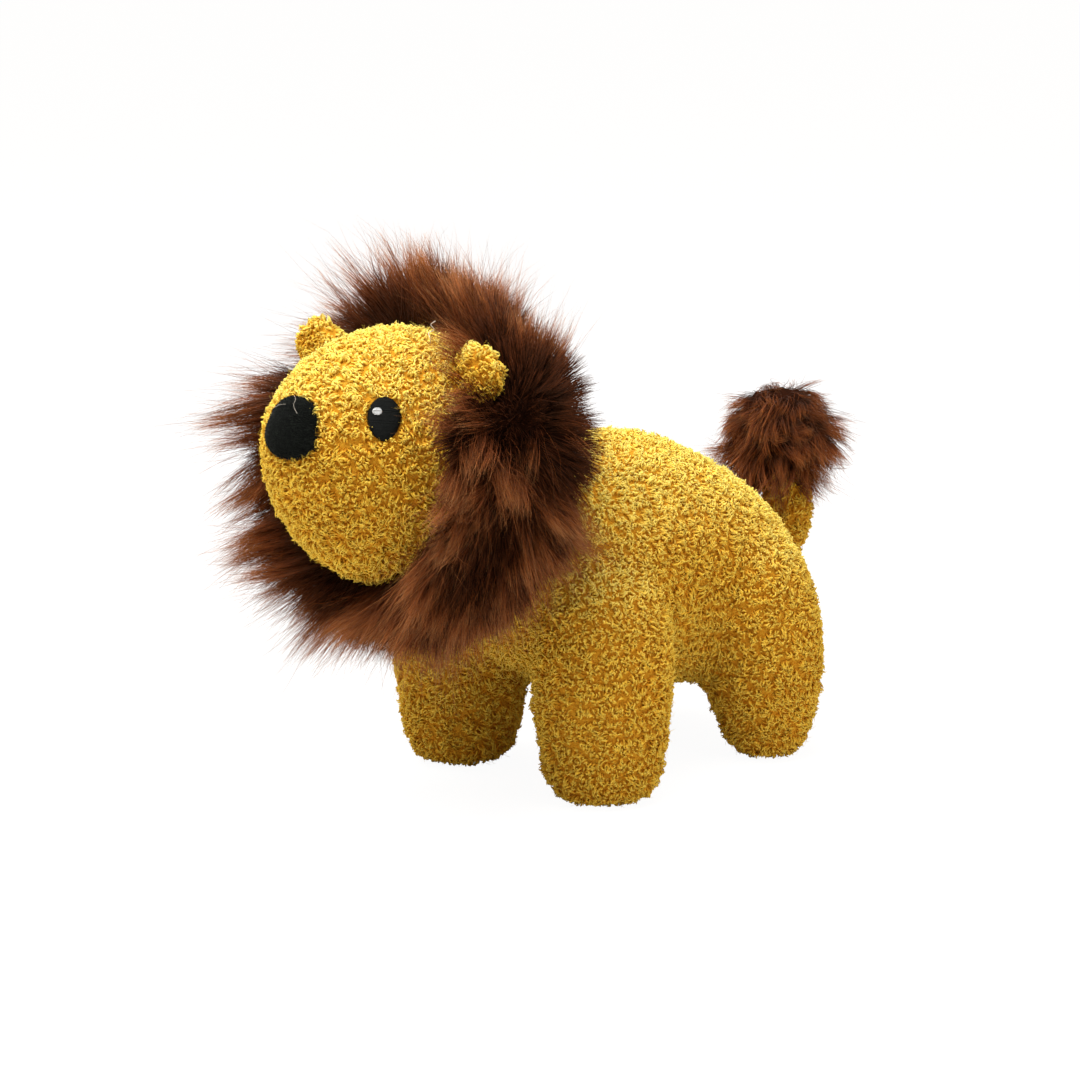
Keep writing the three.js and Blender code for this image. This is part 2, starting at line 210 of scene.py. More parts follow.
def cloth_material(name, dark, light, grain, depth, surface):
    """Cloth with a mottled colour and a fine relief of one real size."""
    made, tree = material(name)
    where = add(tree, "TexCoord")
    mottle = add(tree, "TexNoise", {"Vector": where.outputs["Object"], "Scale": 1 / (3 * grain),
                                    "Detail": 4.0, "Roughness": 0.65})
    colour = add(tree, "ValToRGB", {"Fac": mottle.outputs["Fac"]}, [(0.3, dark), (0.7, light)])
    relief = add(tree, "TexNoise", {"Vector": where.outputs["Object"], "Scale": 1 / grain, "Detail": 3.0})
    bump = add(tree, "Bump", {"Height": relief.outputs["Fac"], "Distance": depth, "Strength": 0.8})
    shader = add(tree, "BsdfPrincipled", {"Base Color": colour.outputs["Color"],
                                          "Normal": bump.outputs["Normal"], **surface})
    add(tree, "OutputMaterial", {"Surface": shader.outputs["BSDF"]})
    return made


# Knitted ground of the teddy pile: seen only between the curls, so deeper in colour as painted shade of those
# gaps, and rough
pile_ground = cloth_material("knitted_pile_ground", "#C08018", "#D69E2C", 0.7 * mm, 0.8 * mm,
                             {"Roughness": 0.95, "Specular IOR Level": 0.1})
# Dense underfur close to the ground cloth: a nearly black brown sheet, partly the fur's own dark roots and
# partly painted shade deep in the mane and the tuft
underfur = cloth_material("matted_underfur", "#1A0C06", "#35190C", 1.5 * mm, 0.6 * mm,
                          {"Roughness": 1.0, "Specular IOR Level": 0.03})
# Brushed polyester velour: black, matt, with a faint grey bloom
velour = cloth_material("brushed_black_velour", "#060807", "#131613", 0.5 * mm, 0.15 * mm,
                        {"Roughness": 0.95, "Specular IOR Level": 0.15, "Sheen Weight": 0.08,
                         "Sheen Roughness": 0.4})
# Rayon embroidery thread: black with a low satin gleam along each thread
black_thread = cloth_material("black_embroidery_thread", "#040504", "#0C0E0C", 0.3 * mm, 0.05 * mm,
                              {"Roughness": 0.6, "Specular IOR Level": 0.1})
# The same thread in white, a little grey where the threads dip
white_thread = cloth_material("white_embroidery_thread", "#A9ABAC", "#D2D4D4", 0.3 * mm, 0.05 * mm,
                              {"Roughness": 0.45, "Specular IOR Level": 0.4})
# Polyester fibre filling: off-white wisps, out of sight inside the covers
filling_fibre = cloth_material("polyester_fibre_filling", "#D8D4CA", "#F1EFE8", 2 * mm, 1 * mm,
                               {"Roughness": 0.9, "Specular IOR Level": 0.2})
# Loose ends of sewing thread and shed fibre: off-white
loose_thread = cloth_material("loose_sewing_thread", "#D9CDB8", "#F2EBDD", 0.4 * mm, 0.05 * mm,
                              {"Roughness": 0.6})


# Meshes

def placed(name, data):
    """A new object in the scene."""
    made = bpy.data.objects.new(name, data)
    bpy.context.scene.collection.objects.link(made)
    return made


def piece(name, places, faces, finish, body, marks=None):
    """A mesh from places and faces with equal corners, with its body."""
    data = bpy.data.meshes.new(name)
    data.vertices.add(len(places))
    data.vertices.foreach_set("co", np.ascontiguousarray(places, np.float32).ravel())
    data.loops.add(faces.size)
    data.loops.foreach_set("vertex_index", np.ascontiguousarray(faces, np.int32).ravel())
    data.polygons.add(len(faces))
    data.polygons.foreach_set("loop_start", np.arange(0, faces.size, faces.shape[1], dtype=np.int32))
    for mark, values in (marks or {}).items():
        held = data.attributes.new(mark, "FLOAT", "POINT")
        held.data.foreach_set("value", values.astype(np.float32).ravel())
    data.update(calc_edges=True)
    data.materials.append(finish)
    made = placed(name, data)
    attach(made, body)
    return made


def places_in(mesh):
    """A mesh's places as the rows of an array."""
    places = np.empty(len(mesh.vertices) * 3, np.float32)
    mesh.vertices.foreach_get("co", places)
    return places.reshape(-1, 3).astype(float)


def tree_of(places, numbers):
    """A search tree over some of the places, known by their numbers."""
    tree = KDTree(len(numbers))
    for number in numbers:
        tree.insert(places[number], int(number))
    tree.balance()
    return tree


def unit(vectors):
    return vectors / np.maximum(np.linalg.norm(vectors, axis=-1, keepdims=True), 1e-12)


def triangles(faces):
    """Four-cornered faces as triangles."""
    return faces if faces.shape[1] == 3 else np.concatenate([faces[:, [0, 1, 2]], faces[:, [0, 2, 3]]])


def normals_of(places, faces):
    """The outward direction at each place."""
    total = np.zeros_like(places)
    corners = triangles(faces)
    a, b, c = (places[corners[:, i]] for i in range(3))
    flat = np.cross(b - a, c - a)
    for i in range(3):
        for axis in range(3):
            total[:, axis] += np.bincount(corners[:, i], flat[:, axis], len(places))
    return unit(total)


def relaxed(places, faces, rounds, share=0.5):
    """Places eased towards the middle of their neighbours, a number of times."""
    start, end = faces.T.ravel(), np.roll(faces, -1, 1).T.ravel()
    around = np.bincount(start, minlength=len(places)) + np.bincount(end, minlength=len(places))
    around = np.maximum(around, 1)
    places = places.copy()
    for _ in range(rounds):
        for axis in range(3):
            line = places[:, axis]
            mean = np.bincount(start, line[end], len(line)) + np.bincount(end, line[start], len(line))
            places[:, axis] = line + share * (mean / around - line)
    return places


def ripple(places, size, seed, waves=14):
    """A smooth field from about -1 to 1 that changes over one size."""
    draw = np.random.default_rng(seed)
    ways = unit(draw.normal(size=(waves, 3))) * (2 * np.pi / size) * draw.uniform(0.6, 1.5, (waves, 1))
    return np.sin(places @ ways.T + draw.uniform(0, 2 * np.pi, waves)).sum(-1) / np.sqrt(waves)


def drift(places, size, seed):
    """A direction at each place that changes smoothly over one size."""
    return np.stack([ripple(places, size, seed + i) for i in range(3)], 1)


def shares_along(steps):
    """Shares from 0 to 1 along a strand, shaped to go with arrays of paths."""
    return np.linspace(0, 1, steps)[None, :, None]


def curve_at(rows, share):
    """A centripetal Catmull-Rom curve through the rows, at a share of its length in rows."""
    rows = np.array(rows, float)
    at = share * (len(rows) - 1)
    k = min(int(at), len(rows) - 2)
    first = rows[k - 1] if k > 0 else 2 * rows[0] - rows[1]
    last = rows[k + 2] if k + 2 < len(rows) else 2 * rows[-1] - rows[-2]
    a, b, c, d = first, rows[k], rows[k + 1], last
    gaps = [np.linalg.norm(q - p) ** 0.5 for p, q in ((a, b), (b, c), (c, d))]
    mid = gaps[1] if gaps[1] > 1e-4 else 1.0
    before, after = (g if g > 1e-4 else mid for g in (gaps[0], gaps[2]))
    leave = ((b - a) / before - (c - a) / (before + mid) + (c - b) / mid) * mid
    arrive = ((c - b) / mid - (d - b) / (mid + after) + (d - c) / after) * mid
    t = at - k
    second, third = 3 * (c - b) - 2 * leave - arrive, 2 * (b - c) + leave + arrive
    return b + leave * t + second * t**2 + third * t**3


def capped(places, faces, sides, rims):
    """Places and faces closed by a fan over each rim, given its first place and whether the fan is turned."""
    j = np.arange(sides // 2) * 2
    for start, flip in rims:
        fan = np.stack([np.full(len(j), len(places)), start + j, start + j + 1, start + (j + 2) % sides], 1)
        places = np.concatenate([places, places[start:start + sides].mean(0, keepdims=True)])
        faces.append(fan[:, ::-1] if flip else fan)
    return places, np.concatenate(faces)


def stuffed(length, width, depth, rows, bluntness=1.0, rings=48, sides=64):
    """A stuffed form along +Z, ovals stacked between two poles, as places and faces of four corners."""
    angles = np.pi * (np.linspace(0.004, 0.996, rings) - 0.5)
    around = 2 * np.pi * np.arange(sides) / sides
    places = []
    for angle in angles:
        lean, wide, deep = curve_at(rows, angle / np.pi + 0.5)
        swell = np.cos(angle) ** bluntness / 2
        places.append(np.stack([np.cos(around) * width * wide * swell,
                                lean * depth + np.sin(around) * depth * deep * swell,
                                np.full(sides, np.sin(angle) * length / 2)], 1))
    places = np.concatenate(places)
    faces = []
    for ring in range(rings - 1):
        low = ring * sides + np.arange(sides)
        nxt = ring * sides + (np.arange(sides) + 1) % sides
        faces.append(np.stack([low, nxt, nxt + sides, low + sides], 1))
    return capped(places, faces, sides, ((0, True), ((rings - 1) * sides, False)))


def turned(places, axis, angle):
    return places @ np.array(Matrix.Rotation(angle, 3, axis)).T


def wrapped(forms, grain, rounds, push):
    """One skin round several closed forms, its creases filled and eased, moved out along its normals."""
    start = 0
    places, faces = [], []
    for form_places, form_faces in forms:
        places.append(form_places)
        faces.append(form_faces + start)
        start += len(form_places)
    data = bpy.data.meshes.new("forms")
    data.from_pydata(np.concatenate(places).tolist(), [], np.concatenate(faces).tolist())
    blank = placed("forms", data)
    wrap = blank.modifiers.new("wrap", "REMESH")
    wrap.mode = "VOXEL"
    wrap.voxel_size = grain
    evaluated = blank.evaluated_get(bpy.context.evaluated_depsgraph_get())
    skin = evaluated.to_mesh()
    out = places_in(skin)
    corners = np.empty(len(skin.loops), np.int32)
    skin.loops.foreach_get("vertex_index", corners)
    corners = corners.reshape(-1, 4)
    evaluated.to_mesh_clear()
    bpy.data.objects.remove(blank)
    out = relaxed(out, corners, rounds)
    return out + normals_of(out, corners) * push, corners


def puffed(places, faces, seam, most, weave=5 * mm, pressure=4.0, frames=20):
    """A skin swollen by its filling: a coarse cloth under pressure, held along its seams, moves it."""
    scene = bpy.context.scene
    data = bpy.data.meshes.new("cover")
    data.from_pydata(places.tolist(), [], faces.tolist())
    fine = placed("cover", data)
    coarse = fine.modifiers.new("coarse", "REMESH")
    coarse.mode = "VOXEL"
    coarse.voxel_size = weave
    mesh = bpy.data.meshes.new_from_object(fine.evaluated_get(bpy.context.evaluated_depsgraph_get()))
    bpy.data.objects.remove(fine)
    cloth = placed("cloth", mesh)
    start = places_in(mesh)
    cloth.vertex_groups.new(name="seams").add(np.nonzero(seam(start))[0].tolist(), 1.0, "REPLACE")
    filling = cloth.modifiers.new("filling", "CLOTH").settings
    filling.use_pressure = True
    filling.uniform_pressure_force = pressure
    filling.effector_weights.gravity = 0.0
    filling.vertex_group_mass = "seams"
    for step in range(frames):
        scene.frame_set(step + 1)
    shift = places_in(cloth.evaluated_get(bpy.context.evaluated_depsgraph_get()).to_mesh()) - start
    bpy.data.objects.remove(cloth)
    scene.frame_set(1)
    reach = np.linalg.norm(shift, axis=1, keepdims=True)
    shift = shift * np.minimum(1, most / np.maximum(reach, 1e-9))
    tree = tree_of(start, range(len(start)))
    moved = places.copy()
    for i, place in enumerate(places.tolist()):
        near = tree.find_n(place, 4)
        weight = np.array([1 / (distance + 0.5 * mm) for _, _, distance in near])
        moved[i] += weight @ shift[[index for _, index, _ in near]] / weight.sum()
    return relaxed(moved, faces, 3)


def spread(places, faces, spacing):
    """Evenly scattered points on a skin: their places, normals and faces."""
    corners = triangles(faces)
    owner = np.tile(np.arange(len(faces)), 1 if faces.shape[1] == 3 else 2)
    a, b, c = (places[corners[:, i]] for i in range(3))
    area = np.linalg.norm(np.cross(b - a, c - a), axis=1) / 2
    count = int(4 * area.sum() / spacing**2)
    pick = chance.choice(len(corners), count, p=area / area.sum())
    u, v = chance.random((2, count, 1))
    u, v = np.where(u + v > 1, 1 - u, u), np.where(u + v > 1, 1 - v, v)
    points = a[pick] + u * (b - a)[pick] + v * (c - a)[pick]
    normal = normals_of(places, faces)[corners[pick]]
    normal = unit(normal[:, 0] * (1 - u - v) + normal[:, 1] * u + normal[:, 2] * v)
    cell = np.floor(points / spacing).astype(np.int64) @ np.array([1, 4096, 4096**2])
    kept = np.unique(cell, return_index=True)[1]
    return points[kept], normal[kept], owner[pick][kept]


def tubes(paths, widths, side_way, sides=3):
    """Closed tapering strands along many paths at once, as places and triangles."""
    count, steps, _ = paths.shape
    along = unit(np.gradient(paths, axis=1))
    first = unit(np.cross(along, side_way[:, None]))
    second = np.cross(along, first)
    angle = (2 * np.pi * np.arange(sides) / sides)[:, None]
    ring = np.cos(angle) * first[:, :, None] + np.sin(angle) * second[:, :, None]
    places = paths[:, :, None] + widths[:, :, None, None] * ring
    faces = []
    for step in range(steps - 1):
        for side in range(sides):
            a, b = step * sides + side, step * sides + (side + 1) % sides
            faces += [[a, b, b + sides], [a, b + sides, a + sides]]
    last = (steps - 1) * sides
    faces += [[0, side + 1, side] for side in range(1, sides - 1)]
    faces += [[last, last + side, last + side + 1] for side in range(1, sides - 1)]
    faces = np.array(faces)[None] + (np.arange(count) * steps * sides)[:, None, None]
    return places.reshape(-1, 3), faces.reshape(-1, 3)


# Stuffed forms. Each row, from one end to the other, is how far the form leans as a share of its depth, then
# its width and its depth as shares of the whole.

body_rows = [[-0.2, 1, 1], [-0.17, 1.15, 0.97], [-0.08, 1.1, 0.96], [0, 0.93, 1], [0.02, 1.1, 1],
             [0.05, 1.15, 1.02], [0.07, 1, 1]]
front_leg_rows = [[0, 0.96, 0.96], [0, 0.92, 0.94], [0, 1, 1], [0.03, 0.85, 1], [0.05, 0.5, 0.8]]
hind_leg_rows = [[0.04, 0.72, 0.72], [0.01, 0.8, 0.82], [-0.07, 1, 1.06], [-0.18, 0.86, 1.12],
                 [-0.3, 0.5, 0.8]]
head_rows = [[0, 1, 1], [0, 1, 1], [0, 1.02, 1], [0, 1, 1], [0.01, 0.96, 0.99], [0.05, 0.92, 0.95],
             [0.12, 1, 1]]
ear_rows = [[0, 0.9, 0.9], [0, 0.98, 1], [0, 1, 1], [0, 1, 0.9], [0, 1, 0.8]]
tail_rows = [[0, 1, 1], [0.42, 1, 1], [0.78, 1, 1], [0.66, 1, 1], [0.52, 1, 1]]


def lying(form, middle):
    """A form turned from +Z to lie with its far end forwards, about a middle."""
    places, faces = form
    return turned(places, "X", np.pi / 2) + middle, faces


def ball(middle, width):
    places, faces = stuffed(width, width, width, [[0, 1, 1]] * 3, rings=24, sides=32)
    return places + middle, faces


body_form = lying(stuffed(body_long, body_wide, body_deep, body_rows), body_middle)
head_form = lying(stuffed(head_long, head_wide, head_deep, head_rows), head_middle)
leg_forms = []
for along, width, rows in ((-front_leg_ahead, front_leg_width, front_leg_rows),
                           (hind_leg_behind, hind_leg_width, hind_leg_rows)):
    for side in (1, -1):
        places, faces = stuffed(leg_long, width, width, rows, 0.24)
        places = turned(places + UP * leg_middle_high, "Y", -side * leg_splay)
        places += np.array([side * half_stance, body_middle[1] + along, 0])
        places[:, 2] = np.maximum(places[:, 2], 0)
        leg_forms.append((places, faces))


def body_seams(places):
    """Along the back, round the belly panel and on the soles."""
    x, _, z = places.T
    back = (np.abs(x) < seam_half) & (z > body_middle[2])
    belly = (np.abs(np.abs(x) - belly_half) < seam_half) & (z < body_middle[2])
    return back | belly | (z < 4 * mm)


def head_seams(places):
    """Along both edges of the gusset over the crown, and where the neck runs into the chest."""
    x, _, z = places.T
    gusset = (np.abs(np.abs(x) - gusset_half) < seam_half) & (z > head_middle[2])
    return gusset | (np.linalg.norm(places - neck, axis=1) < 32 * mm)


body_skin, body_faces = wrapped([body_form] + leg_forms, grain=1.7 * mm, rounds=45, push=-2.0 * mm)
body_skin = puffed(body_skin, body_faces, body_seams, most=1.6 * mm)
body_skin[:, 2] = np.maximum(body_skin[:, 2], 0.4 * mm)
head_skin, head_faces = wrapped([head_form, ball(neck, neck_width)], grain=1.7 * mm, rounds=16,
                                push=-2.2 * mm)
head_skin = puffed(head_skin, head_faces, head_seams, most=1.4 * mm)
tail_stem, tail_stem_faces = stuffed(tail_long, tail_width, tail_width, tail_rows, 0.45)
tail_form = (tail_stem + tail_root + UP * 22 * mm, tail_stem_faces)
tail_skin, tail_faces = wrapped([tail_form, ball(tail_root, tail_width)], grain=1.2 * mm, rounds=10,
                                push=-1.3 * mm)

body_tree = BVHTree.FromPolygons(body_skin.tolist(), body_faces.tolist())
head_tree = BVHTree.FromPolygons(head_skin.tolist(), head_faces.tolist())


def sorted_out(places, faces, nodes):
    """For each face of a skin, the number of the CAD node that lies nearest."""
    middles = places[faces].mean(1)
    nearest = []
    for node in nodes:
        data = frame["nodes"][node].data
        tree = BVHTree.FromPolygons([v.co for v in data.vertices], [p.vertices for p in data.polygons])
        nearest.append([tree.find_nearest(m)[3] for m in middles.tolist()])
    return np.argmin(nearest, 0)


def thin_cover(name, places, faces, chosen, body, thickness=0.9 * mm):
    """The chosen faces of a skin as a closed cover of one thickness."""
    own = faces[chosen]
    used, back = np.unique(own, return_inverse=True)
    own = back.reshape(own.shape)
    outer = places[used]
    inner = outer - normals_of(places, faces)[used] * thickness
    edges = np.concatenate([np.stack([own[:, i], np.roll(own, -1, 1)[:, i]], 1) for i in range(4)])
    code = edges[:, 0] * len(used) + edges[:, 1]
    open_edges = edges[~np.isin(code, edges[:, 1] * len(used) + edges[:, 0])]
    walls = np.stack([open_edges[:, 1], open_edges[:, 0], open_edges[:, 0] + len(used),
                      open_edges[:, 1] + len(used)], 1)
    whole = np.concatenate([own, own[:, ::-1] + len(used), walls])
    cover = piece(name, np.concatenate([outer, inner]), whole, pile_ground, body)
    return cover


def strand_pieces(name, paths, widths, ways, finish, body, stands_for, upward=None):
    """Strands as pieces of fewer than 200,000 triangles each, marked from 0 at the root to 1 at the tip."""
    steps = paths.shape[1]
    parts = int(np.ceil(len(paths) / (most_triangles // (6 * (steps - 1) + 2))))
    for number, chosen in enumerate(np.array_split(np.arange(len(paths)), parts)):
        places, faces = tubes(paths[chosen], widths[chosen], ways[chosen])
        marks = {"along": np.repeat(np.tile(np.linspace(0, 1, steps), len(chosen)), 3)}
        # upward marks how much painted top light each strand gets
        if upward is not None:
            marks["upward"] = np.repeat(upward[chosen], steps * 3)
        label = name if parts == 1 else f"{name}_{number + 1}"
        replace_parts(piece(label, places, faces, finish, body, marks), stands_for)


def flat_ways(normals, pull):
    """A random way along the skin at each root, drawn towards a pull, and the way square to it."""
    loose = chance.normal(size=normals.shape) + pull
    way = unit(loose - (loose * normals).sum(1, keepdims=True) * normals)
    return way, np.cross(normals, way)


def facing_up(normals):
    """How much painted top light the pile gets: 0 where it faces sideways or down, rising to 1 where it faces
    up.
    """
    share = np.clip((normals[:, 2] - 0.1) / 0.75, 0, 1)
    return share**2 * (3 - 2 * share)


def nearest(roots, leaders):
    """The leader that is nearest to each root."""
    tree = tree_of(roots, leaders)
    return np.array([tree.find(root)[1] for root in roots])


def curls(name, roots, normals, body, node):
    """Crimped tufts of pile, each leaning over its neighbours and winding as it goes."""
    count = len(roots)
    clump = ripple(roots, 8 * mm, 5)[:, None]
    way, side = flat_ways(normals, 1.2 * drift(roots, 6 * mm, 6) - 0.5 * UP)
    lean = chance.uniform(0.4, 1.25, (count, 1))
    aim = np.cos(lean) * normals + np.sin(lean) * way
    cross = np.cross(aim, side)
    length = curl_long * chance.uniform(0.65, 1.15, (count, 1)) * (1 + 0.2 * clump)
    t = shares_along(6)
    winds = chance.uniform(0.6, 1.3, (count, 1, 1))
    wind = 2 * np.pi * winds * t + chance.uniform(0, 2 * np.pi, (count, 1, 1))
    wide = chance.uniform(0.4, 0.9, (count, 1, 1)) * mm * np.sqrt(t)
    paths = (roots - 0.3 * mm * normals)[:, None] + length[:, None] * 0.8 * (t - 0.25 * t**2) * aim[:, None]
    led_by = nearest(roots, np.nonzero(chance.random(count) < 0.13)[0])
    paths = paths + 0.5 * t**1.5 * (paths[led_by][:, -1:] - paths[:, -1:])
    paths = paths + wide * (np.cos(wind) * side[:, None] + np.sin(wind) * cross[:, None])
    paths[..., 2] = np.maximum(paths[..., 2], 0.6 * mm)
    widths = curl_thick * np.array([0.9, 1.1, 1.15, 1.1, 0.85, 0.35]) * chance.uniform(0.7, 1.25, (count, 1))
    strand_pieces(name, paths, widths, side, curl_finish, body, node, facing_up(normals))


def fuzz(name, roots, normals, body, node):
    """Single fibres that have come out of the curls and stand over them."""
    count = len(roots)
    way, side = flat_ways(normals, 0)
    bend = chance.uniform(0.8, 3.0, (count, 1, 1))
    length = fibre_long * chance.uniform(0.6, 1.3, (count, 1, 1))
    t = shares_along(4)
    turn = bend * t
    arc = (1 - np.cos(turn)) * way[:, None] + np.sin(turn) * normals[:, None]
    paths = roots[:, None] + length / bend * arc
    paths = paths + chance.normal(0, 0.3, (count, 1, 1)) * length * t**1.5 * side[:, None]
    paths[..., 2] = np.maximum(paths[..., 2], 0.3 * mm)
    widths = fibre_thick * np.array([1.0, 1.0, 0.9, 0.4]) * np.ones((count, 1))
    strand_pieces(name, paths, widths, side, curl_finish, body, node, facing_up(normals))


def covered(places, faces, nodes, body, bare=None):
    """A skin's covers, one for each CAD node, and the curls that grow on each."""
    node_of = sorted_out(places, faces, nodes)
    points, normals, owner = spread(places, faces, curl_gap)
    if bare is not None:
        grown = ~bare(points)
        points, normals, owner = points[grown], normals[grown], owner[grown]
    for number, node in enumerate(nodes):
        label = node.replace("_panel", "")
        cover = thin_cover(label + "_ground", places, faces, node_of == number, body)
        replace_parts(cover, node)
        mine = node_of[owner] == number
        if mine.any():
            curls(label + "_curls", points[mine], normals[mine], body, node)
            few = np.nonzero(mine)[0][::5]
            fuzz(label + "_fuzz", points[few], normals[few], body, node)


# Outlines on the face, seen square on

def facing(turn, lift):
    """The directions across, up and out of a view that is turned and lifted from straight ahead."""
    out = np.array([np.cos(lift) * np.sin(turn), -np.cos(lift) * np.cos(turn), np.sin(lift)])
    across = np.array([np.cos(turn), np.sin(turn), 0])
    return across, np.cross(out, across), out


nose_half = np.array([[0.2, 0.48], [0.4, 0.34], [0.5, 0.04], [0.54, -0.24], [0.32, -0.48]])
nose_half = nose_half * [nose_wide, nose_high]
nose_rim = np.concatenate([nose_half, (nose_half * [-1, 1])[::-1]])
nose_facing = facing(0.0, nose_lift)
eye_facings = {"left": facing(eye_turn, eye_lift), "right": facing(-eye_turn, eye_lift)}


def closed_curve(points, count):
    """A smooth closed outline through points."""
    ring = np.concatenate([points[-2:], points, points[:2]])
    share = np.linspace(0, 1, count, endpoint=False)
    low, high = 2 / (len(ring) - 1), (2 + len(points)) / (len(ring) - 1)
    return np.array([curve_at(ring, low + (high - low) * s) for s in share])


nose_outline = closed_curve(nose_rim, 72)


def radius_at(outline, angle):
    """How far an outline lies from its middle at each angle."""
    angles = np.arctan2(outline[:, 1], outline[:, 0])
    order = np.argsort(angles)
    return np.interp(angle, angles[order], np.linalg.norm(outline, axis=1)[order], period=2 * np.pi)


def outline_reach(angle):
    return radius_at(nose_outline, angle)


def on_patch(points, view, reach):
    """Whether points of the head lie under an outline; reach gives its radius at an angle."""
    across, up, out = view
    local = points - head_middle
    u, v = local @ across, local @ up
    return (np.hypot(u, v) < reach(np.arctan2(v, u))) & (local @ out > 0)


def eye_reach(angle):
    """An upright oval, a little narrower below."""
    narrow = 1 - 0.1 * np.clip(-np.sin(angle), 0, 1)
    return 1 / np.hypot(np.cos(angle) / (eye_wide / 2 * narrow), np.sin(angle) / (eye_high / 2))


mane_up = np.array([0, np.sin(mane_tilt), np.cos(mane_tilt)])
mane_back = np.array([0, np.cos(mane_tilt), -np.sin(mane_tilt)])
# The band of fur round the head: angle from the crown in degrees, its front edge, its back edge, in mm
band_rows = np.array([[0, -2, 30], [30, -2, 30], [58, -1, 31], [64, -18, 32], [70, -25, 32], [82, -22, 32],
                      [100, -20, 32], [125, -22, 32], [150, -19, 32], [180, -13, 30]])


def band_edges(angle):
    """The front and the back edge of the band of fur, at angles from the crown."""
    turn = np.degrees(np.abs(angle))
    return tuple(np.interp(turn, band_rows[:, 0], band_rows[:, i]) * mm for i in (1, 2))


def round_head(points):
    """A point's angle from the crown, and how far it lies behind the mane's middle."""
    local = points - mane_middle
    return np.arctan2(local @ ACROSS, local @ mane_up), local @ mane_back


def inside(tree, points, margin):
    """Whether points lie under a skin, or less than a margin above it."""
    found = [tree.find_nearest(p) for p in points.tolist()]
    return np.array([(Vector(p) - f[0]).dot(f[1]) < margin for p, f in zip(points.tolist(), found)])


def bare_head(points):
    """Where the head has no curls: under the nose, the eyes and the mane, and inside the chest."""
    angle, behind = round_head(points)
    front, back = band_edges(angle)
    under = (behind > front + 3 * mm) & (behind < back - 5 * mm)
    under |= (behind > 0) & inside(body_tree, points, 0.5 * mm)
    under |= on_patch(points, nose_facing, outline_reach)
    for view in eye_facings.values():
        under |= on_patch(points, view, lambda a: eye_reach(a) + 0.2 * mm)
    return under


legs = ("front_left", "front_right", "hind_left", "hind_right")
covered(body_skin, body_faces, ["body_left_panel", "body_right_panel", "belly_panel"]
        + [leg + "_leg_cover" for leg in legs] + [leg + "_sole" for leg in legs], "body")
covered(head_skin, head_faces, ["head_left_panel", "head_right_panel", "head_gusset"], "head", bare=bare_head)
covered(tail_skin, tail_faces, ["tail_sleeve"], "tail",
        bare=lambda points: points[:, 2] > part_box("tuft_fur")[0].z + 12 * mm)

# Ears, plump half-round pads with a shallow cup in front
for side, name in ((1, "left"), (-1, "right")):
    seat = joint_at[name + "_ear_fold"]
    ear, ear_faces = stuffed(ear_long, ear_wide, ear_deep, ear_rows, 0.65, rings=30, sides=40)
    cup = np.exp(-((ear[:, 0] / (8 * mm))**2) - ((ear[:, 2] / (7 * mm))**2))
    ear[:, 1] += np.where(ear[:, 1] < 0, 2 * mm, 0) * cup
    ear = turned(ear + UP * 6.25 * mm, "Y", side * (np.pi / 2 - ear_lift)) + seat
    ear = ear - normals_of(ear, ear_faces) * 0.8 * mm
    covered(ear, ear_faces, [name + "_ear_front", name + "_ear_back"], name + "_ear",
            bare=lambda points: inside(head_tree, points, 1.8 * mm))


# Nose and eyes

def on_head(u, v, view, rise):
    """Places over the head, from outline places seen square on, at a height over the ground cloth."""
    across, up, out = view
    found = []
    for du, dv, height in zip(u, v, rise):
        start = Vector(head_middle + du * across + dv * up)
        hit, normal, _, _ = head_tree.ray_cast(start, Vector(out))
        found.append(np.array(hit) + height * unit(np.array(normal) + out))
    return np.array(found)


def patch(name, view, reach, crown, rim, finish, rings=20, sides=72):
    """A padded patch on the head with an outline, highest in the middle, its edge turned in."""
    angle = np.tile(2 * np.pi * np.arange(sides) / sides, rings)
    share = np.repeat(np.sin(np.linspace(0.03, 0.5, rings) * np.pi), sides)
    radius = reach(angle) * share
    rise = rim + (crown - rim) * np.sqrt(np.clip(1 - share**3, 0, 1))
    top = on_head(radius * np.cos(angle), radius * np.sin(angle), view, rise)
    hem = radius[-sides:]
    last = angle[-sides:]
    base = on_head(hem * np.cos(last), hem * np.sin(last), view, np.full(sides, -0.5 * mm))
    ring = np.arange(sides)
    after = (ring + 1) % sides
    faces = [np.stack([ring, ring + sides, after + sides, after], 1) + row * sides for row in range(rings)]
    places, faces = capped(np.concatenate([top, base]), faces, sides, ((0, False), (rings * sides, True)))
    return piece(name, places, faces, finish, "head"), places, faces


nose, nose_places, nose_faces = patch("nose_patch_velour", nose_facing, outline_reach, crown=4.0 * mm,
                                      rim=1.4 * mm, finish=velour)
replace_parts(nose, "nose_patch")
points, normals, _ = spread(nose_places, nose_faces, 0.6 * mm)
lean = chance.normal(size=points.shape) * 0.35 + ACROSS * 1.5 - UP * 0.3
reach = chance.uniform(0.8, 1.5, (len(points), 1)) * mm
t = shares_along(4)
paths = points[:, None] - 0.1 * mm * normals[:, None]
paths = paths + (t * reach[:, None]) * unit(normals + 0.6 * lean)[:, None]
paths = paths + (t**2 * 0.5 * reach[:, None]) * lean[:, None]
widths = np.array([[0.11, 0.1, 0.08, 0.02]]) * mm * np.ones((len(points), 1))
strand_pieces("nose_patch_nap", paths, widths, unit(np.cross(normals, lean)), nap_finish, "head",
              "nose_patch")


